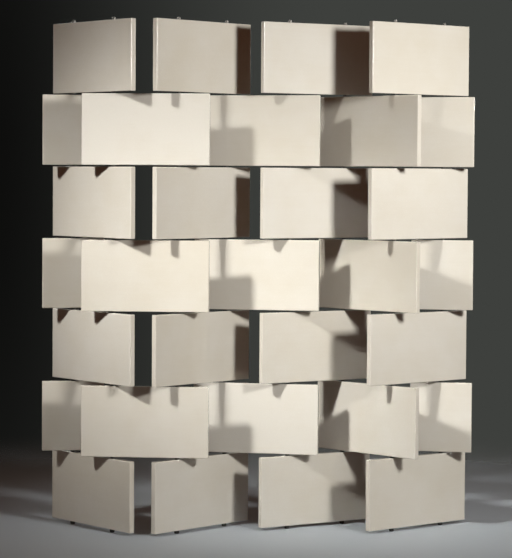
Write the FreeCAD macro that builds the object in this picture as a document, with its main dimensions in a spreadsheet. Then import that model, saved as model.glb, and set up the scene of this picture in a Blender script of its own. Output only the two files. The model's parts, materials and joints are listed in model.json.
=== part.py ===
import FreeCAD, Part
import Sketcher
import math
import os

Vector = FreeCAD.Vector

# A standing screen of lacquered blocks laid like brickwork on upright rods. Odd rows hold four whole
# blocks, each fixed on two rods of its own. Even rows bridge from one such pair to the next and end in
# half blocks, so that the screen folds at every rod. Lengths are in millimetres.
rows = 7
columns = 4
driving = {
    "panel_height": 262,
    "panel_thickness": 22,
    "arris_radius": 3,
    "rod_spacing": 239,
    "end_gap": 7,
    "row_gap": 6,
    "rod_diameter": 8,
    "thread_diameter": 6,
    "thread_length": 6,
    "running_clearance": 0.1,
    "mouth_chamfer": 0.8,
    "spacer_diameter": 16,
    "washer_diameter": 14,
    "washer_thickness": 1.5,
    "cap_diameter": 12,
    "cap_height": 9.5,
    "cap_crown": 0.6,
    "foot_diameter": 18,
    "foot_height": 11,
    "foot_chamfer": 2,
}
# Plan angles in degrees from the X axis: the block lines from left to right, then the two half blocks
turns = [-47.76, -4.70, 44.15, -10.64, 28.66, -42.01, 36.31]
half_turns = [5.9, -10.43]

doc = FreeCAD.newDocument("block_screen")
sheet = doc.addObject("Spreadsheet::Sheet", "sizes")
for line, (alias, number) in enumerate(driving.items(), start=1):
    sheet.set(f"A{line}", alias)
    sheet.set(f"B{line}", str(number))
    sheet.setAlias(f"B{line}", alias)
doc.recompute()

whole_length = "(2 * sizes.rod_spacing - sizes.end_gap)"
half_length = "(sizes.rod_spacing - sizes.end_gap)"
bore_radius = "(sizes.rod_diameter / 2 + sizes.running_clearance)"
tapped_radius = "(sizes.thread_diameter / 2 + sizes.running_clearance)"
tapped_depth = "(sizes.thread_length + sizes.running_clearance)"
row_pitch = "(sizes.panel_height + sizes.row_gap)"
stack_top = f"(sizes.foot_height + {rows} * {row_pitch} - sizes.row_gap)"
nut_seat = f"({stack_top} + sizes.washer_thickness)"
pieces = []


def value(formula):
    return float(sheet.evalExpression(formula))


def add_body(label, place):
    body = doc.addObject("PartDesign::Body", label)
    body.Label = label
    body.AllowCompound = True
    body.Placement = place
    pieces.append(body)
    return body


def add_sketch(body, role, height="0"):
    plane = next(item for item in body.Origin.OriginFeatures if item.Role == role)
    sketch = body.newObject("Sketcher::SketchObject", body.Name + "_sketch")
    sketch.AttachmentSupport = [(plane, "")]
    sketch.MapMode = "FlatFace"
    sketch.setExpression("AttachmentOffset.Base.z", height)
    return sketch


def add_feature(body, kind, profile=None):
    feature = body.newObject("PartDesign::" + kind, body.Name + "_" + kind.lower())
    if profile is not None:
        feature.Profile = profile
    return feature


def hold(sketch, kind, ends, formula):
    # A dimension that follows the sheet
    index = sketch.addConstraint(Sketcher.Constraint(kind, *ends, value(formula)))
    sketch.setExpression(f"Constraints[{index}]", formula)


def relate(sketch, kind, *ends):
    sketch.addConstraint(Sketcher.Constraint(kind, *ends))


def add_outline(sketch, corners):
    last = len(corners) - 1
    for k, corner in enumerate(corners):
        following = 0 if k == last else k + 1
        sketch.addGeometry(Part.LineSegment(corner, corners[following]), False)
    for k in range(len(corners)):
        relate(sketch, "Coincident", k, 2, 0 if k == last else k + 1, 1)


def add_rectangle(sketch, length, width):
    x = value(length) / 2
    y = value(width) / 2
    add_outline(sketch, [Vector(-x, -y), Vector(x, -y), Vector(x, y), Vector(-x, y)])
    for side in (0, 2):
        relate(sketch, "Horizontal", side)
    for side in (1, 3):
        relate(sketch, "Vertical", side)
    relate(sketch, "Symmetric", 0, 1, 2, 1, -1, 1)
    hold(sketch, "DistanceX", (0, 1, 0, 2), length)
    hold(sketch, "DistanceY", (1, 1, 1, 2), width)


def add_circles(sketch, sides, radius):
    # Circles on the X axis: side 0 is the middle, -1 and 1 are half a rod spacing to either hand
    for side in sides:
        centre = Vector(side * value("sizes.rod_spacing / 2"), 0)
        index = sketch.addGeometry(Part.Circle(centre, Vector(0, 0, 1), value(radius)), False)
        if side == 0:
            relate(sketch, "Coincident", index, 3, -1, 1)
        else:
            relate(sketch, "PointOnObject", index, 3, -1)
            ends = (index, 3, -1, 1) if side < 0 else (-1, 1, index, 3)
            hold(sketch, "DistanceX", ends, "sizes.rod_spacing / 2")
        hold(sketch, "Radius", (index,), radius)


def add_pad(body, profile, height):
    pad = add_feature(body, "Pad", profile)
    pad.setExpression("Length", height)
    doc.recompute()
    return pad


def add_pocket(body, profile, base, depth=None, upward=False):
    # A pocket with no depth goes right through
    pocket = add_feature(body, "Pocket", profile)
    pocket.Reversed = upward
    if depth is None:
        pocket.Type = "ThroughAll"
    else:
        pocket.setExpression("Length", depth)
    doc.recompute()
    if pocket.Shape.Volume >= base.Shape.Volume:
        raise RuntimeError(f"{pocket.Label} cuts nothing")
    return pocket


def dress_edges(body, kind, base, test, setting, formula):
    # A fillet or chamfer on every edge of the base that passes the test
    feature = add_feature(body, kind)
    feature.Base = (base, [f"Edge{k}" for k, edge in enumerate(base.Shape.Edges, start=1) if test(edge)])
    feature.setExpression(setting, formula)
    doc.recompute()
    return feature


def is_rim(edge):
    # A whole circle, as drilling and turning leave, and not the quarter arc of a rounded corner
    return not edge.Degenerated and edge.isClosed() and isinstance(edge.Curve, Part.Circle)


def make_panel(label, length, sides, place):
    # A block with every arris softened, drilled from end to end for its rods
    body = add_body(label, place)
    outline = add_sketch(body, "XY_Plane")
    add_rectangle(outline, length, "sizes.panel_thickness")
    block = add_pad(body, outline, "sizes.panel_height")
    soft = dress_edges(body, "Fillet", block, lambda edge: True, "Radius", "sizes.arris_radius")
    circles = add_sketch(body, "XY_Plane")
    add_circles(circles, sides, bore_radius)
    bores = add_pocket(body, circles, soft, upward=True)
    dress_edges(body, "Chamfer", bores, is_rim, "Size", "sizes.mouth_chamfer")


def make_rod(label, place):
    # A drawn bar turned down at both ends to a thread, so that foot and nut pull up to a shoulder
    body = add_body(label, place)
    sketch = add_sketch(body, "XZ_Plane")
    thread = "sizes.thread_diameter / 2"
    bar = "sizes.rod_diameter / 2"
    tail = "sizes.foot_height - sizes.thread_length"
    tip = f"{nut_seat} + sizes.thread_length"
    profile = [
        (None, tail), (thread, tail), (thread, "sizes.foot_height"), (bar, "sizes.foot_height"),
        (bar, nut_seat), (thread, nut_seat), (thread, tip), (None, tip),
    ]
    add_outline(sketch, [Vector(value(radius or "0"), value(height)) for radius, height in profile])
    for k, (radius, height) in enumerate(profile):
        hold(sketch, "DistanceY", (-1, 1, k, 1), height)
        if radius is None:
            relate(sketch, "PointOnObject", k, 1, -2)
        else:
            hold(sketch, "DistanceX", (-1, 1, k, 1), radius)
    turned = add_feature(body, "Revolution", sketch)
    turned.ReferenceAxis = (sketch, ["V_Axis"])
    turned.Angle = 360


def make_rings(label, place, diameter, thickness, height):
    # A flat ring on each rod of a column
    body = add_body(label, place)
    sketch = add_sketch(body, "XY_Plane", height)
    add_circles(sketch, (-1, 1), f"{diameter} / 2")
    add_circles(sketch, (-1, 1), bore_radius)
    rings = add_pad(body, sketch, thickness)
    return body, sketch, rings


def make_spacers(label, place):
    # The rings that carry each row on the one below
    first = "sizes.foot_height + sizes.panel_height"
    body, sketch, rings = make_rings(label, place, "sizes.spacer_diameter", "sizes.row_gap", first)
    pattern = add_feature(body, "LinearPattern")
    pattern.Originals = [rings]
    pattern.Direction = (sketch, ["N_Axis"])
    pattern.Occurrences = rows - 1
    pattern.setExpression("Length", f"{rows - 2} * {row_pitch}")
    body.Tip = pattern


def make_washers(label, place):
    make_rings(label, place, "sizes.washer_diameter", "sizes.washer_thickness", stack_top)


def make_caps(label, place):
    # Domed nuts, tapped blind from below
    body = add_body(label, place)
    outline = add_sketch(body, "XY_Plane", nut_seat)
    add_circles(outline, (-1, 1), "sizes.cap_diameter / 2")
    turned = add_pad(body, outline, "sizes.cap_height")
    crown = turned.Shape.BoundBox.ZMax
    dome_radius = "sizes.cap_diameter / 2 - sizes.cap_crown"
    dome = dress_edges(body, "Fillet", turned, rim_at(crown), "Radius", dome_radius)
    hole = add_sketch(body, "XY_Plane", nut_seat)
    add_circles(hole, (-1, 1), tapped_radius)
    add_pocket(body, hole, dome, tapped_depth, upward=True)


def make_feet(label, place):
    # Turned feet, tapped blind from above
    body = add_body(label, place)
    outline = add_sketch(body, "XY_Plane")
    add_circles(outline, (-1, 1), "sizes.foot_diameter / 2")
    turned = add_pad(body, outline, "sizes.foot_height")
    foot = dress_edges(body, "Chamfer", turned, rim_at(0), "Size", "sizes.foot_chamfer")
    hole = add_sketch(body, "XY_Plane", "sizes.foot_height")
    add_circles(hole, (-1, 1), tapped_radius)
    add_pocket(body, hole, foot, tapped_depth)


def rim_at(height):
    return lambda edge: is_rim(edge) and abs(edge.Curve.Center.z - height) < 0.01


def direction(turn):
    return Vector(math.cos(math.radians(turn)), math.sin(math.radians(turn)))


def reach(length, turn, axis):
    # Half the width along one axis of a block that stands turned in plan, its upright edges rounded
    radius = value("sizes.arris_radius")
    along = abs(direction(turn)[axis]) * (length / 2 - radius)
    across = abs(direction(turn + 90)[axis]) * (value("sizes.panel_thickness") / 2 - radius)
    return along + across + radius


# The rods in plan stand one spacing apart along the block lines; every line has a centre, turn and length
rods = [Vector(0, 0)]
for turn in turns:
    rods.append(rods[-1] + direction(turn) * value("sizes.rod_spacing"))
lines = []
for k, turn in enumerate(turns):
    lines.append(((rods[k] + rods[k + 1]) / 2, turn, value(whole_length)))
half_lines = []
for rod, turn in zip((rods[0], rods[-1]), half_turns):
    half_lines.append((rod, turn, value(half_length)))

# The origin is under the middle of the box round the standing screen
middle = Vector(0, 0)
for axis in (0, 1):
    lows = [centre[axis] - reach(length, turn, axis) for centre, turn, length in lines + half_lines]
    highs = [centre[axis] + reach(length, turn, axis) for centre, turn, length in lines + half_lines]
    middle[axis] = (min(lows) + max(highs)) / 2


def place_at(point, turn, height):
    return FreeCAD.Placement(point - middle + Vector(0, 0, height), FreeCAD.Rotation(Vector(0, 0, 1), turn))


for row in range(1, rows + 1):
    level = value(f"sizes.foot_height + {rows - row} * {row_pitch}")
    odd = row % 2 == 1
    row_lines = lines[0::2] if odd else lines[1::2]
    for column, (centre, turn, length) in enumerate(row_lines, start=1):
        make_panel(f"panel_row{row}_col{column}", whole_length, (-1, 1), place_at(centre, turn, level))
    if not odd:
        for end, (centre, turn, length) in zip(("left", "right"), half_lines):
            make_panel(f"half_panel_row{row}_{end}", half_length, (0,), place_at(centre, turn, level))

for number, rod in enumerate(rods, start=1):
    make_rod(f"pivot_rod_{number}", place_at(rod, 0, 0))

for column in range(1, columns + 1):
    centre, turn, length = lines[2 * column - 2]
    place = place_at(centre, turn, 0)
    make_spacers(f"row_spacers_col{column}", place)
    make_washers(f"top_washers_col{column}", place)
    make_caps(f"cap_nuts_col{column}", place)
    make_feet(f"feet_col{column}", place)

doc.recompute()
for item in doc.Objects:
    if "Invalid" in item.State or "Error" in item.State:
        raise RuntimeError(f"{item.Label} failed: {item.State}")
for piece in pieces:
    if piece.Shape.isNull() or not piece.Shape.isValid():
        raise RuntimeError(f"{piece.Label} has no valid shape")

os.makedirs("parts", exist_ok=True)
for piece in pieces:
    piece.Shape.exportStep(f"parts/{piece.Label}.step")
    print(piece.Label, len(piece.Shape.Solids), "solids", round(piece.Shape.Volume / 1000, 2), "cm3")
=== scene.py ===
import json
import math

import bpy
import numpy as np
from mathutils import Euler, Matrix, Vector


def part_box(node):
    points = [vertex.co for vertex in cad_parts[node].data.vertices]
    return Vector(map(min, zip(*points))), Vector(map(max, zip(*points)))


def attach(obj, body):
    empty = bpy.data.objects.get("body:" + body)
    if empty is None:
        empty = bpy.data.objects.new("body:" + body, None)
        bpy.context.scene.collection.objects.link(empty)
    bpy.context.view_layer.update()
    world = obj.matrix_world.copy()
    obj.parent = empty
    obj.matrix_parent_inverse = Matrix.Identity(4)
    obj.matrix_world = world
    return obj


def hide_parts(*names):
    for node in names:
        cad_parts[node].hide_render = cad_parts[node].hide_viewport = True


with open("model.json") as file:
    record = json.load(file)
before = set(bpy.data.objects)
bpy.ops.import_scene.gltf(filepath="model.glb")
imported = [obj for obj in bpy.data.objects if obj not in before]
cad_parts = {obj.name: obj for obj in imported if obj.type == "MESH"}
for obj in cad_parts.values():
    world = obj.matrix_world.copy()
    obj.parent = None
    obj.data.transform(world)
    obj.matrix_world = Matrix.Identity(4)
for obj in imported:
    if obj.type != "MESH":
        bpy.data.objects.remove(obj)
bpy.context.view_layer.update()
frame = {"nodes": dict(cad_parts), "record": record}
nodes = frame["nodes"]
bodyOf = {node: body for body, group in frame["record"]["behaviour"]["bodies"].items() for node in group}
mm = 0.001
dice = np.random.default_rng(31)  # one seed for every small difference between blocks


def linearFromHex(code):
    parts = np.array([int(code[k:k + 2], 16) for k in (1, 3, 5)]) / 255
    linear = np.where(parts <= 0.04045, parts / 12.92, ((parts + 0.055) / 1.055) ** 2.4)
    return (*linear.tolist(), 1.0)


def addNode(tree, kind, inputs=None, **settings):
    node = tree.nodes.new("ShaderNode" + kind)
    for key, value in settings.items():
        setattr(node, key, value)
    for key, value in (inputs or {}).items():
        if isinstance(value, bpy.types.NodeSocket):
            tree.links.new(value, node.inputs[key])
        else:
            node.inputs[key].default_value = value
    return node


def newMaterial(name):
    material = bpy.data.materials.new(name)
    material.use_nodes = True
    material.node_tree.nodes.clear()
    return material, material.node_tree


# Materials

lacquer = {
    "cream": "#ede7d9",       # the coat where it was flatted back most
    "creamDeep": "#e7dfcd",   # where a little more colour is left
    "ground": "#d9cbb0",      # warm undercoat that just shows where an arris is rubbed
    "cloudMm": 130.0,         # soft clouds left by rubbing down
    "strokeMm": 11.0,         # brush strokes; the real ones are about 1 mm wide, drawn coarser to show
    "strokeLength": 14.0,     # a stroke is this many times longer than wide
    "rubMm": 2.4,             # marks of the polishing pad, drawn coarser than the real 0.3 mm
    "waveMm": 80.0,           # slow waves of a hand-flatted surface
    "cloudShare": 0.85,       # how much clouds and strokes count in the colour
    "strokeShare": 0.2,
    "waveDeepMm": 0.2,        # depth of waves, strokes and polishing marks
    "strokeDeepMm": 0.012,
    "rubDeepMm": 0.006,
    "roughness": 0.25,
    "roughnessSpread": 0.05,  # polishing marks move it this far up and down
    "coatRoughness": 0.06,    # the last clear coat
}


def creamLacquer():
    # Lacquer brushed on wood in many coats, flatted and polished by hand: an even cream that is a little
    # cloudy, a clear gloss that wavers in reflections, and arrises rubbed slightly warm
    material, tree = newMaterial("cream_lacquer_hand_polished")
    place = addNode(tree, "Attribute", attribute_name="blockPos").outputs["Vector"]
    tone = addNode(tree, "Attribute", attribute_name="blockTone").outputs["Fac"]
    arris = addNode(tree, "Attribute", attribute_name="arris").outputs["Fac"]

    perCloud = 1 / (lacquer["cloudMm"] * mm)
    cloud = addNode(tree, "TexNoise", {"Vector": place, "Scale": perCloud, "Detail": 3.0})
    perStroke = 1 / (lacquer["strokeMm"] * mm)
    along = addNode(tree, "Mapping", {"Vector": place,
                                      "Scale": (perStroke / lacquer["strokeLength"], perStroke, perStroke)})
    stroke = addNode(tree, "TexNoise", {"Vector": along.outputs["Vector"], "Scale": 1.0, "Detail": 2.0})
    rub = addNode(tree, "TexNoise", {"Vector": place, "Scale": 1 / (lacquer["rubMm"] * mm), "Detail": 4.0})
    wave = addNode(tree, "TexNoise", {"Vector": place, "Scale": 1 / (lacquer["waveMm"] * mm), "Detail": 1.0})

    clouded = addNode(tree, "Math", {0: cloud.outputs["Fac"], 1: lacquer["cloudShare"], 2: tone},
                      operation="MULTIPLY_ADD")
    mottle = addNode(tree, "Math", {0: stroke.outputs["Fac"], 1: lacquer["strokeShare"],
                                    2: clouded.outputs[0]}, operation="MULTIPLY_ADD")
    amount = addNode(tree, "MapRange", {"Value": mottle.outputs[0], "From Min": 0.3, "From Max": 0.8})
    coat = addNode(tree, "Mix", {"Factor": amount.outputs["Result"], "A": linearFromHex(lacquer["cream"]),
                                 "B": linearFromHex(lacquer["creamDeep"])}, data_type="RGBA")
    patchy = addNode(tree, "Math", {0: arris, 1: rub.outputs["Fac"]}, operation="MULTIPLY")
    worn = addNode(tree, "MapRange", {"Value": patchy.outputs[0], "From Min": 0.5, "From Max": 0.75,
                                      "To Max": 0.5})
    colour = addNode(tree, "Mix", {"Factor": worn.outputs["Result"], "A": coat.outputs["Result"],
                                   "B": linearFromHex(lacquer["ground"])}, data_type="RGBA")

    gloss = addNode(tree, "MapRange", {"Value": rub.outputs["Fac"], "From Min": 0.3, "From Max": 0.7,
                                       "To Min": lacquer["roughness"] - lacquer["roughnessSpread"],
                                       "To Max": lacquer["roughness"] + lacquer["roughnessSpread"]})
    waves = addNode(tree, "Bump", {"Height": wave.outputs["Fac"], "Distance": lacquer["waveDeepMm"] * mm})
    strokes = addNode(tree, "Bump", {"Height": stroke.outputs["Fac"],
                                     "Distance": lacquer["strokeDeepMm"] * mm,
                                     "Normal": waves.outputs["Normal"]})
    fine = addNode(tree, "Bump", {"Height": rub.outputs["Fac"], "Distance": lacquer["rubDeepMm"] * mm,
                                  "Normal": strokes.outputs["Normal"]})
    skin = addNode(tree, "BsdfPrincipled", {
        "Base Color": colour.outputs["Result"], "Roughness": gloss.outputs["Result"],
        "Normal": fine.outputs["Normal"], "IOR": 1.5, "Specular IOR Level": 0.3,
        "Coat Weight": 1.0, "Coat Roughness": lacquer["coatRoughness"], "Coat IOR": 1.5})
    addNode(tree, "OutputMaterial", {"Surface": skin.outputs["BSDF"]})
    return material


bar = {
    "bright": "#a7a49e",
    "dull": "#8d8a84",
    "lineMm": 0.9,        # die lines along the bar, drawn coarser than the real 0.1 mm
    "lineLength": 90.0,   # and this many times longer than wide
    "lineDeepMm": 0.02,
    "stainMm": 25.0,
    "smooth": 0.24,       # roughness between the lines and on them
    "rough": 0.42,
}


def drawnSteel():
    # Steel bar pulled through a die and wiped with an oily rag: fine lines along its length that
    # stretch the highlights sideways
    material, tree = newMaterial("drawn_steel_bar")
    place = addNode(tree, "TexCoord").outputs["Object"]
    perLine = 1 / (bar["lineMm"] * mm)
    lines = addNode(tree, "Mapping", {"Vector": place,
                                      "Scale": (perLine, perLine, perLine / bar["lineLength"])})
    grain = addNode(tree, "TexNoise", {"Vector": lines.outputs["Vector"], "Scale": 1.0, "Detail": 3.0})
    stain = addNode(tree, "TexNoise", {"Vector": place, "Scale": 1 / (bar["stainMm"] * mm), "Detail": 2.0})
    colour = addNode(tree, "Mix", {"Factor": stain.outputs["Fac"], "A": linearFromHex(bar["bright"]),
                                   "B": linearFromHex(bar["dull"])}, data_type="RGBA")
    rough = addNode(tree, "MapRange", {"Value": grain.outputs["Fac"], "To Min": bar["smooth"],
                                       "To Max": bar["rough"]})
    bump = addNode(tree, "Bump", {"Height": grain.outputs["Fac"], "Distance": bar["lineDeepMm"] * mm})
    skin = addNode(tree, "BsdfPrincipled", {
        "Base Color": colour.outputs["Result"], "Roughness": rough.outputs["Result"],
        "Normal": bump.outputs["Normal"], "Metallic": 1.0})
    addNode(tree, "OutputMaterial", {"Surface": skin.outputs["BSDF"]})
    return material


turnery = {
    "bright": "#8f8a82",
    "hazy": "#736f69",
    "brightSmooth": 0.26,
    "brightRough": 0.4,
    "brightMarkDeepMm": 0.012,
    "black": "#262421",
    "rubbed": "#5c5a56",
    "blackSmooth": 0.36,
    "blackRough": 0.54,
    "blackMarkDeepMm": 0.02,
    "blackMetal": 0.85,        # the black oxide is a little less than metal
    "toolMarkMm": 0.5,         # one turn of the lathe tool, drawn coarser than the real 0.15 mm
    "hazeMm": 3.0,
}


def turnedSteel():
    # Steel turned on a lathe and polished with fine cloth: rings round the axis under a bright finish
    material, tree = newMaterial("turned_steel_polished")
    place = addNode(tree, "TexCoord").outputs["Object"]
    along = addNode(tree, "Attribute", attribute_name="toolPath").outputs["Fac"]
    marks = addNode(tree, "TexNoise", {"W": along, "Scale": 1 / (turnery["toolMarkMm"] * mm), "Detail": 2.0},
                    noise_dimensions="1D")
    haze = addNode(tree, "TexNoise", {"Vector": place, "Scale": 1 / (turnery["hazeMm"] * mm), "Detail": 3.0})
    colour = addNode(tree, "Mix", {"Factor": haze.outputs["Fac"], "A": linearFromHex(turnery["bright"]),
                                   "B": linearFromHex(turnery["hazy"])}, data_type="RGBA")
    rough = addNode(tree, "MapRange", {"Value": marks.outputs["Fac"], "To Min": turnery["brightSmooth"],
                                       "To Max": turnery["brightRough"]})
    bump = addNode(tree, "Bump", {"Height": marks.outputs["Fac"],
                                  "Distance": turnery["brightMarkDeepMm"] * mm})
    skin = addNode(tree, "BsdfPrincipled", {
        "Base Color": colour.outputs["Result"], "Roughness": rough.outputs["Result"],
        "Normal": bump.outputs["Normal"], "Metallic": 1.0})
    addNode(tree, "OutputMaterial", {"Surface": skin.outputs["BSDF"]})
    return material


def blackenedSteel():
    # Turned steel blackened in hot oil: almost black with a satin gleam, rubbed to grey on its rims
    material, tree = newMaterial("oil_blackened_steel")
    place = addNode(tree, "TexCoord").outputs["Object"]
    along = addNode(tree, "Attribute", attribute_name="toolPath").outputs["Fac"]
    rim = addNode(tree, "Attribute", attribute_name="rim").outputs["Fac"]
    marks = addNode(tree, "TexNoise", {"W": along, "Scale": 1 / (turnery["toolMarkMm"] * mm), "Detail": 2.0},
                    noise_dimensions="1D")
    haze = addNode(tree, "TexNoise", {"Vector": place, "Scale": 1 / (turnery["hazeMm"] * mm), "Detail": 4.0})
    bare = addNode(tree, "Math", {0: rim, 1: haze.outputs["Fac"]}, operation="MULTIPLY")
    colour = addNode(tree, "Mix", {"Factor": bare.outputs[0], "A": linearFromHex(turnery["black"]),
                                   "B": linearFromHex(turnery["rubbed"])}, data_type="RGBA")
    rough = addNode(tree, "MapRange", {"Value": haze.outputs["Fac"], "To Min": turnery["blackSmooth"],
                                       "To Max": turnery["blackRough"]})
    bump = addNode(tree, "Bump", {"Height": marks.outputs["Fac"],
                                  "Distance": turnery["blackMarkDeepMm"] * mm})
    skin = addNode(tree, "BsdfPrincipled", {
        "Base Color": colour.outputs["Result"], "Roughness": rough.outputs["Result"],
        "Normal": bump.outputs["Normal"], "Metallic": turnery["blackMetal"]})
    addNode(tree, "OutputMaterial", {"Surface": skin.outputs["BSDF"]})
    return material


finishes = {
    "cream_lacquer": creamLacquer(),
    "rod_steel": drawnSteel(),
    "turned_steel": turnedSteel(),
    "blackened_steel": blackenedSteel(),
}
slotOf = {row["node"]: row["material_slot"] for row in frame["record"]["subparts"]}
print("materials made:", len(finishes))


# Meshes

weldSteps = 1e7                # points on the same ten-millionth of a metre are one
crispFrom = math.radians(28)   # an edge that turns more than this stays crisp
nearRod = 30 * mm              # a piece on a rod ends within this, and the next rod is further off


def gridQuads(rows, columns):
    # Quads of a grid that closes on itself both ways: each corner, the next along, across and back
    at = np.arange(rows * columns).reshape(rows, columns)
    down = np.roll(at, -1, 0)
    return np.stack([at, np.roll(at, -1, 1), np.roll(down, -1, 1), down], -1)


def welded(points, quads):
    # Points that share a place become one, and a quad that lost a side becomes a triangle
    keys = np.round(points * weldSteps).astype(np.int64)
    _, first, where = np.unique(keys, axis=0, return_index=True, return_inverse=True)
    quads = where.reshape(-1)[quads]
    same = quads == np.roll(quads, -1, 1)
    lost = same.sum(1)
    return first, quads[lost == 0], quads[lost == 1][~same[lost == 1]].reshape(-1, 3)


def volumeWithin(points, quads, triangles):
    # A sixth of the sum of each triangle's triple product, which is negative when faces point inwards
    a, b, c = points[np.concatenate([triangles, quads[:, :3], quads[:, [0, 2, 3]]])].transpose(1, 0, 2)
    return (a * np.cross(b, c)).sum() / 6


def makePiece(node, points, quads, attributes):
    first, quads, triangles = welded(points, quads)
    points = points[first]
    if volumeWithin(points - points.mean(0), quads, triangles) < 0:
        quads, triangles = quads[:, ::-1], triangles[:, ::-1]
    mesh = bpy.data.meshes.new(node + "_finished")
    mesh.from_pydata(points, [], quads.tolist() + triangles.tolist())
    for name, values in attributes.items():
        vector = values.ndim == 2
        layer = mesh.attributes.new(name, "FLOAT_VECTOR" if vector else "FLOAT", "POINT")
        layer.data.foreach_set("vector" if vector else "value", values[first].astype(np.float32).ravel())
    mesh.polygons.foreach_set("use_smooth", np.ones(len(mesh.polygons), bool))
    mesh.set_sharp_from_angle(angle=crispFrom)
    mesh.materials.append(finishes[slotOf[node]])
    piece = bpy.data.objects.new(node + "_finished", mesh)
    bpy.context.scene.collection.objects.link(piece)
    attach(piece, bodyOf[node])
    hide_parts(node)


def nodePoints(node):
    points = np.empty(len(nodes[node].data.vertices) * 3, np.float32)
    nodes[node].data.vertices.foreach_get("co", points)
    return points.reshape(-1, 3).astype(float)


rodNames = sorted(name for name in nodes if name.startswith("pivot_rod_"))
rodPlan = np.array([(nodePoints(name).min(0) + nodePoints(name).max(0))[:2] / 2 for name in rodNames])

block = {
    "arrisMm": 3.0,
    "arrisSteps": 6,
    "arrisLast": 84.0,     # degrees; it stops just short of level, where its corners would shrink to points
    "holdMm": 0.5,         # a line of points this far inside each arris keeps the flats flat
    "holdShare": 0.2,      # and on top no further in than this share of the way to the mouth
    "mouthMm": 0.8,
    "fanStep": 7.5,        # degrees between the lines that run out from a bore
    "cutPoints": 5,        # points across the middle of a whole block
    "faceShares": (0.0, 0.5, 0.9),   # lines of points on the way from the arris to the mouth
    "toneSpread": 0.13,    # how far blocks differ in colour, as the coats were mixed by hand
    "patternShift": 20.0,  # metres; each block is cut from another place in the lacquer's pattern
}


def blockOutline(out, inner, halfThick, joined):
    # The plan outline round one bore, as core points and outward directions: the point at offset d is
    # core + d * direction. A flat keeps one direction and a corner turns it through a quarter circle.
    # A joined inner end is a straight cut through the block, where the offset only widens it.
    radius = block["arrisMm"] * mm
    hold = block["holdMm"] * mm
    steps = block["arrisSteps"]
    y = halfThick - radius
    right = out - radius
    quarter = np.linspace(0, math.pi / 2, steps + 1)
    swing = np.concatenate([quarter - math.pi / 2, np.zeros(3), quarter])
    endY = np.concatenate([np.full(steps + 1, -y), [hold - y, 0, y - hold], np.full(steps + 1, y)])
    endCore = np.stack([np.full(len(endY), right), endY], 1)
    endOut = np.stack([np.cos(swing), np.sin(swing)], 1)

    left = -inner if joined else radius + hold - inner
    fanStep = block["fanStep"]
    fan = np.radians(np.arange(fanStep, 180 - fanStep / 2, fanStep))  # thrown out to the long side
    x = halfThick / np.tan(fan)
    x = np.concatenate([[right - hold], x[(x < right - 2 * hold) & (x > left + hold)], [left]])
    sideCore = np.stack([x, np.full(len(x), y)], 1)
    sideOut = np.tile([0.0, 1.0], (len(x), 1))
    if joined:
        count = block["cutPoints"]
        share = np.linspace(1, -1, count + 2)[1:-1]
        farCore = np.stack([np.full(count, -inner), share * y], 1)
        farOut = np.stack([np.zeros(count), share], 1)
    else:
        farCore, farOut = -endCore, -endOut
    flip = np.array([1, -1])
    return (np.concatenate([endCore, sideCore, farCore, sideCore[::-1] * flip]),
            np.concatenate([endOut, sideOut, farOut, sideOut[::-1] * flip]))


def blockCell(out, inner, halfThick, height, boreRadius, joined):
    # One bore and the wood round it, as a grid closed both ways: along a row runs the outline, and the
    # rows go up the outer wall, over the arris, across the top to the bore's mouth, down the bore and
    # back across the underside
    radius = block["arrisMm"] * mm
    hold = block["holdMm"] * mm
    mouth = block["mouthMm"] * mm
    core, outward = blockOutline(out, inner, halfThick, joined)
    last = math.radians(block["arrisLast"])
    lift = np.linspace(0, last, block["arrisSteps"] + 1)
    offset = radius * np.cos(lift)
    rise = height / 2 - radius + radius * np.sin(lift) / math.sin(last)
    flat = height / 2 - radius - hold
    wallOffset = np.concatenate([offset[::-1], [radius, radius, radius], offset])
    wallHeight = np.concatenate([-rise[::-1], [-flat, 0, flat], rise])
    wallPlan = core + wallOffset[:, None, None] * outward

    rim = wallPlan[-1]
    away = np.linalg.norm(rim, axis=1, keepdims=True)
    ray = rim / away
    mouthRing = (boreRadius + mouth) * ray
    inset = rim - ray * np.minimum(2 * hold, (away - boreRadius - mouth) * block["holdShare"])
    shares = np.array(block["faceShares"])
    facePlan = inset + (mouthRing - inset) * shares[:, None, None]
    borePlan = np.stack([mouthRing, boreRadius * ray, boreRadius * ray, mouthRing])
    boreHeight = np.array([height / 2, height / 2 - mouth, mouth - height / 2, -height / 2])

    plan = np.concatenate([wallPlan, facePlan, borePlan, facePlan[::-1]])
    faceHeight = np.full(len(shares), height / 2)
    level = np.concatenate([wallHeight, faceHeight, boreHeight, -faceHeight])
    points = np.concatenate([plan, np.broadcast_to(level[:, None, None], plan.shape[:2] + (1,))], 2)
    quads = gridQuads(*plan.shape[:2])
    if joined:  # no wall where the two halves of a block meet
        onCut = np.isclose(core[:, 0], -inner)
        wallRow = np.arange(len(plan)) < len(wallHeight) - 1
        quads = quads[~(wallRow[:, None] & onCut & np.roll(onCut, -1))]
    slope = np.sin(2 * lift)  # nothing on a flat, one halfway over an arris
    edge = np.zeros(plan.shape[:2])
    edge[:len(wallHeight)] = np.maximum(np.concatenate([slope[::-1], np.zeros(3), slope])[:, None],
                                        2 * np.abs(outward.prod(1)))
    return points.reshape(-1, 3), quads.reshape(-1, 4), edge.ravel()


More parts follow.
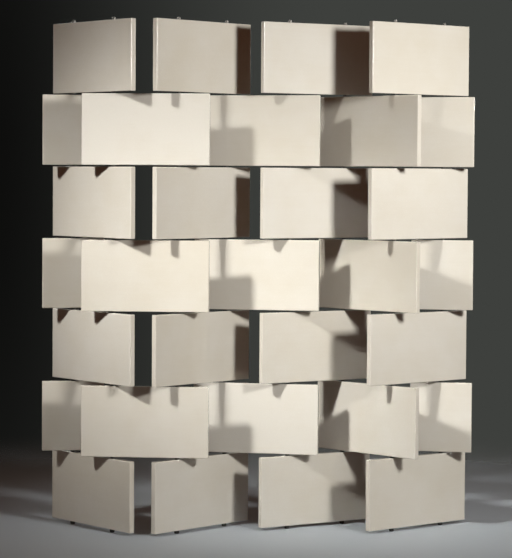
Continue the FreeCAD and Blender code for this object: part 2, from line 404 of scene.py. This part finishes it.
def makeBlock(node):
    # Place and size are read from the solid: its long direction in plan is the main axis of its corners
    corners = nodePoints(node)
    low, high = corners.min(0), corners.max(0)
    middle = (low + high) / 2
    spread = corners[:, :2] - middle[:2]
    along = np.linalg.eigh(spread.T @ spread)[1][:, 1]
    along = along * np.sign(along[0])
    through = np.array([-along[1], along[0]])
    halfLong = np.abs(spread @ along).max()
    halfThick = np.abs(spread @ through).max()
    height = high[2] - low[2]
    boreAt = (rodPlan - middle[:2]) @ np.stack([along, through], 1)
    boreAt = boreAt[(np.abs(boreAt[:, 1]) < halfThick) & (np.abs(boreAt[:, 0]) < halfLong)]
    boreX = boreAt[:, 0].max()
    local = np.stack([spread @ along, spread @ through], 1)
    boreRadius = np.linalg.norm(local - boreAt[-1], axis=1).min()
    if len(boreAt) == 1:
        points, quads, edge = blockCell(halfLong, halfLong, halfThick, height, boreRadius, False)
    else:  # a whole block is one cell and the same turned half round
        cell, quads, edge = blockCell(halfLong - boreX, boreX, halfThick, height, boreRadius, True)
        cell = cell + [boreX, 0, 0]
        points = np.concatenate([cell, cell * [-1, -1, 1]])
        quads = np.concatenate([quads, quads + len(cell)])
        edge = np.concatenate([edge, edge])
    plan = points[:, :1] * along + points[:, 1:2] * through + middle[:2]
    placed = np.concatenate([plan, points[:, 2:] + middle[2]], 1)
    tone = dice.normal(0, block["toneSpread"])
    shift = dice.uniform(-block["patternShift"], block["patternShift"], 3)
    makePiece(node, placed, quads, {"blockPos": points + shift, "arris": edge,
                                    "blockTone": np.full(len(points), tone)})


blockNames = sorted(name for name in nodes if "panel" in name)
for name in blockNames:
    makeBlock(name)
print("blocks made:", len(blockNames))


def easedProfile(corners, ease, steps=4, most=0.3):
    # A closed outline with every corner rounded: between the points one ease before and after a corner
    # runs the quadratic curve that aims at the corner. An ease takes at most a given share of a side, and
    # a corner on the axis stays as it is.
    corners = np.array(corners, float)
    back = np.roll(corners, 1, 0) - corners
    ahead = np.roll(corners, -1, 0) - corners
    reachBack = np.linalg.norm(back, axis=1, keepdims=True)
    reachAhead = np.linalg.norm(ahead, axis=1, keepdims=True)
    eases = np.where(corners[:, :1] == 0, 0, ease)
    start = corners + back / reachBack * np.minimum(eases, reachBack * most)
    end = corners + ahead / reachAhead * np.minimum(eases, reachAhead * most)
    t = np.linspace(0, 1, steps)[None, :, None]
    curve = (1 - t) ** 2 * start[:, None] + 2 * t * (1 - t) * corners[:, None] + t ** 2 * end[:, None]
    return curve.reshape(-1, 2)


def turnedShells(profiles, centres, segments, rimFrom=0.97):
    # Closed outlines of radius and height, each carried round its own upright axis: x and y are the
    # radius times the cosine and sine of the angle. Also gives the way along the outline, and a rim
    # share that is one on points past rimFrom of the largest radius.
    angle = np.arange(segments) / segments * 2 * math.pi
    points, quads, paths, rims = [], [], [], []
    for profile, centre in zip(profiles, centres):
        radius, height = profile[:, :1], profile[:, 1:]
        shell = np.stack([centre[0] + radius * np.cos(angle), centre[1] + radius * np.sin(angle),
                          height + 0 * angle], -1)
        step = np.linalg.norm(np.diff(profile, axis=0, prepend=profile[:1]), axis=1)
        quads.append(gridQuads(*shell.shape[:2]).reshape(-1, 4) + sum(len(p) for p in points))
        points.append(shell.reshape(-1, 3))
        paths.append(np.repeat(np.cumsum(step), segments))
        rims.append(np.repeat(profile[:, 0] > profile[:, 0].max() * rimFrom, segments))
    attributes = {"toolPath": np.concatenate(paths), "rim": np.concatenate(rims).astype(float)}
    return np.concatenate(points), np.concatenate(quads), attributes


def spanAt(node, centre):
    # A node's nearest and furthest distance from one rod's centre, and its lowest and highest level there
    points = nodePoints(node)
    away = np.linalg.norm(points[:, :2] - centre, axis=1)
    near = away < away.min() + nearRod
    return away[near].min(), away[near].max(), points[near, 2].min(), points[near, 2].max()


rod = {"segments": 40, "easeMm": 0.5, "threadMm": 6.0, "threadLengthMm": 6.0}


def makeRod(node, centre):
    # A bar that steps down to its thread at both ends
    _, radius, low, high = spanAt(node, centre)
    thread = rod["threadMm"] / 2 * mm
    end = rod["threadLengthMm"] * mm
    profile = easedProfile([(0, low), (thread, low), (thread, low + end), (radius, low + end),
                            (radius, high - end), (thread, high - end), (thread, high), (0, high)],
                           rod["easeMm"] * mm)
    makePiece(node, *turnedShells([profile], [centre], rod["segments"]))


ring = {"segments": 48, "easeMm": 0.5}


def makeRings(node, centres, levels):
    # Flat rings with eased edges, one for each rod at each level
    inner, outer, _, _ = spanAt(node, centres[0])
    profiles = [easedProfile([(inner, low), (outer, low), (outer, high), (inner, high)], ring["easeMm"] * mm)
                for low, high in levels]
    count = len(centres)
    makePiece(node, *turnedShells(profiles * count, np.repeat(centres, len(levels), 0), ring["segments"]))


cap = {
    "segments": 48,
    "domeSteps": 14,
    "crownMm": 0.6,
    "easeMm": 0.4,
    "easeBow": 0.3,        # the eased lower edge bows out to this share of the ease from its corner
    "threadMm": 6.2,
    "threadDeepMm": 6.1,
}


def makeCaps(node, centres):
    # A collar that runs into a dome, hollow below for the rod's thread: the dome is a quarter circle
    # from the collar to a small flat crown
    _, outer, low, high = spanAt(node, centres[0])
    ease = cap["easeMm"] * mm
    bow = ease * cap["easeBow"]
    hole = cap["threadMm"] / 2 * mm
    roof = low + cap["threadDeepMm"] * mm
    crown = cap["crownMm"] * mm
    bend = outer - crown
    lift = np.linspace(0, math.pi / 2, cap["domeSteps"])
    dome = np.stack([crown + bend * np.cos(lift), high - bend + bend * np.sin(lift)], 1)
    collar = [(0, roof), (hole, roof), (hole, low + ease), (hole + ease, low), (outer - ease, low),
              (outer - bow, low + bow), (outer, low + ease)]
    profile = np.concatenate([collar, dome, [(0, high)]])
    makePiece(node, *turnedShells([profile] * len(centres), centres, cap["segments"]))


foot = {"segments": 56, "easeMm": 0.5, "bevelMm": 2.0, "threadMm": 6.2, "threadDeepMm": 6.1}


def makeFeet(node, centres):
    # A short drum, bevelled where it meets the floor, hollow above for the rod's thread
    _, outer, low, high = spanAt(node, centres[0])
    bevel = foot["bevelMm"] * mm
    hole = foot["threadMm"] / 2 * mm
    bottom = high - foot["threadDeepMm"] * mm
    profile = easedProfile([(0, low), (outer - bevel, low), (outer, low + bevel), (outer, high),
                            (hole, high), (hole, bottom), (0, bottom)], foot["easeMm"] * mm)
    makePiece(node, *turnedShells([profile] * len(centres), centres, foot["segments"]))


for name, centre in zip(rodNames, rodPlan):
    makeRod(name, centre)
print("rods made:", len(rodNames))

rowNames = sorted(name for name in nodes if name.startswith("panel_row") and name.endswith("_col1"))
rowSpans = [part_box(name) for name in rowNames]
rowGaps = [(under[1].z, over[0].z) for over, under in zip(rowSpans, rowSpans[1:])]
columnCount = len(rodPlan) // 2
for column in range(1, columnCount + 1):
    pair = rodPlan[2 * column - 2:2 * column]
    washers = f"top_washers_col{column}"
    makeRings(f"row_spacers_col{column}", pair, rowGaps)
    makeRings(washers, pair, [spanAt(washers, pair[0])[2:]])
    makeCaps(f"cap_nuts_col{column}", pair)
    makeFeet(f"feet_col{column}", pair)
print("spacers, washers, cap nuts and feet made for", columnCount, "columns")


# Stage

studio = {
    "floor": "#c6cdd1",
    "floorRadius": 3.3,
    "floorRings": 25,
    "floorSegments": 96,
    "floorDropMm": 0.2,                  # a hair below the feet
    "fadeFrom": 0.6,                     # metres from the middle between which the floor fades out
    "fadeTo": 3.168,
    "speckPerMetre": 60.0,
    "backdrop": "#3e403d",
    "backdropShade": "#0d0d0c",          # one stretch of it is unlit, in this direction and this far round
    "shadeTowards": (-0.13, 0.991, 0.0),
    "shadeReach": 0.17,
    "shadeUpright": 0.2,                 # height counts this much, so that the stretch stands tall
    "ambient": "#c87c46",
    "ambientStrength": 0.065,
}
keyPlace = (-3.86, -3.58, 4.35)  # high on the left, one box with two narrow beams
lamps = {  # place and aim in metres, watts, width of the square softbox, spread of its grid in degrees
    "key_left": (keyPlace, (-0.47, 0.0, 0.89), 2.76, 0.55, 19.2),
    "key_right": (keyPlace, (0.32, 0.0, 0.71), 3.06, 0.55, 18.8),
    "side": ((2.2, -2.7, 2.05), (0.66, 0.0, 1.41), 25.2, 0.45, 88.0),       # nearer and lower on the right
    "rear_right": ((2.9, 4.4, 3.0), (0.0, 0.0, 1.0), 150.0, 2.8, 180.0),    # two broad ones for the far side
    "rear_left": ((-2.8, 4.5, 3.0), (0.0, 0.0, 1.0), 125.0, 2.8, 180.0),
    "rear_top": ((0.0, 3.4, 4.2), (0.0, 0.6, 0.0), 6.0, 3.0, 180.0),        # and a weak one for the floor
}
floorLeftOut = bpy.data.collections.new("floor_left_out")


def makeFloor():
    # A level disc: radius and angle on a grid, drawn in to a single middle point
    rings = studio["floorRings"]
    segments = studio["floorSegments"]
    radius = np.linspace(0, studio["floorRadius"], rings)[:, None]
    angle = np.arange(segments) / segments * 2 * math.pi
    level = 0 * radius * angle - studio["floorDropMm"] * mm
    points = np.stack([radius * np.cos(angle), radius * np.sin(angle), level], -1).reshape(-1, 3)
    quads = gridQuads(rings, segments)[:-1].reshape(-1, 4)
    first, quads, triangles = welded(points, quads)
    mesh = bpy.data.meshes.new("studio_floor")
    mesh.from_pydata(points[first], [], quads.tolist() + triangles.tolist())
    floor = bpy.data.objects.new("studio_floor", mesh)
    bpy.context.scene.collection.objects.link(floor)
    floorLeftOut.objects.link(floor)
    floorLeftOut.collection_objects[0].light_linking.link_state = "EXCLUDE"

    material, tree = newMaterial("pale_studio_floor")
    place = addNode(tree, "TexCoord").outputs["Object"]
    away = addNode(tree, "VectorMath", {0: place}, operation="LENGTH")
    fade = addNode(tree, "MapRange", {"Value": away.outputs["Value"], "From Min": studio["fadeFrom"],
                                      "From Max": studio["fadeTo"]},
                   interpolation_type="SMOOTHERSTEP")
    speck = addNode(tree, "TexNoise", {"Vector": place, "Scale": studio["speckPerMetre"], "Detail": 4.0})
    rough = addNode(tree, "MapRange", {"Value": speck.outputs["Fac"], "To Min": 0.55, "To Max": 0.75})
    paint = addNode(tree, "BsdfPrincipled", {"Base Color": linearFromHex(studio["floor"]),
                                             "Roughness": rough.outputs["Result"]})
    clear = addNode(tree, "BsdfTransparent")
    mixed = addNode(tree, "MixShader", {"Fac": fade.outputs["Result"], 1: paint.outputs["BSDF"],
                                        2: clear.outputs["BSDF"]})
    addNode(tree, "OutputMaterial", {"Surface": mixed.outputs["Shader"]})
    mesh.materials.append(material)


def makeWorld():
    # The eye, mirrors and glass see the backdrop's grey, which darkens towards its unlit stretch;
    # everything else is lit by a faint warm dome
    world = bpy.data.worlds.new("studio")
    bpy.context.scene.world = world
    world.use_nodes = True
    tree = world.node_tree
    tree.nodes.clear()
    path = addNode(tree, "LightPath")
    seen = addNode(tree, "Math", {0: path.outputs["Is Camera Ray"], 1: path.outputs["Is Glossy Ray"]},
                   operation="MAXIMUM")
    seen = addNode(tree, "Math", {0: seen.outputs[0], 1: path.outputs["Is Transmission Ray"]},
                   operation="MAXIMUM")
    dome = addNode(tree, "Background", {"Color": linearFromHex(studio["ambient"]),
                                        "Strength": studio["ambientStrength"]})
    ray = addNode(tree, "TexCoord").outputs["Generated"]
    level = addNode(tree, "VectorMath", {0: ray, 1: (1.0, 1.0, studio["shadeUpright"])},
                    operation="MULTIPLY")
    apart = addNode(tree, "VectorMath", {0: level.outputs["Vector"], 1: studio["shadeTowards"]},
                    operation="DISTANCE")
    light = addNode(tree, "MapRange", {"Value": apart.outputs["Value"], "From Max": studio["shadeReach"]},
                    interpolation_type="SMOOTHSTEP")
    paper = addNode(tree, "Mix", {"Factor": light.outputs["Result"],
                                  "A": linearFromHex(studio["backdropShade"]),
                                  "B": linearFromHex(studio["backdrop"])}, data_type="RGBA")
    backdrop = addNode(tree, "Background", {"Color": paper.outputs["Result"], "Strength": 1.0})
    mixed = addNode(tree, "MixShader", {"Fac": seen.outputs[0], 1: dome.outputs["Background"],
                                        2: backdrop.outputs["Background"]})
    addNode(tree, "OutputWorld", {"Surface": mixed.outputs["Shader"]})


def makeLamp(name, place, aim, watts, width, spread):
    light = bpy.data.lights.new(name + "_softbox", "AREA")
    light.energy = watts
    light.shape = "SQUARE"
    light.size = width
    light.spread = math.radians(spread)
    lamp = bpy.data.objects.new(name + "_softbox", light)
    bpy.context.scene.collection.objects.link(lamp)
    lamp.location = place
    lamp.rotation_euler = (Vector(place) - Vector(aim)).to_track_quat("Z", "Y").to_euler()
    lamp.visible_camera = False
    light.cycles.max_bounces = 1  # the shade between the blocks stays deep
    if name.startswith("rear"):  # their light isn't thrown back into the shade in front
        light.cycles.max_bounces = 0
        light.cycles.use_multiple_importance_sampling = False
    if name in ("rear_right", "rear_left"):  # and these two leave the floor dark under the blocks
        lamp.light_linking.receiver_collection = floorLeftOut


viewpoint = {
    "place": (-0.0066, -7.7006, 1.3269),
    "tiltDown": 2.169,     # degrees
    "roll": 0.331,
    "yaw": 0.009,
    "lensMm": 134.0,
    "sensorMm": 36.0,
    "shiftY": -0.05,
}


def makeCamera():
    data = bpy.data.cameras.new("photo_view")
    data.sensor_width = viewpoint["sensorMm"]
    data.lens = viewpoint["lensMm"]
    data.shift_y = viewpoint["shiftY"]
    camera = bpy.data.objects.new("photo_view", data)
    bpy.context.scene.collection.objects.link(camera)
    tilt = Euler((math.radians(90 - viewpoint["tiltDown"]), 0, math.radians(viewpoint["yaw"]))).to_matrix()
    roll = Matrix.Rotation(math.radians(viewpoint["roll"]), 3, "Z")
    camera.rotation_euler = (tilt @ roll).to_euler()
    camera.location = viewpoint["place"]
    bpy.context.scene.camera = camera


makeFloor()
makeWorld()
for lampName, setting in lamps.items():
    makeLamp(lampName, *setting)
makeCamera()
bpy.context.scene.view_settings.view_transform = "Standard"
print("stage set")

bpy.context.view_layer.update()
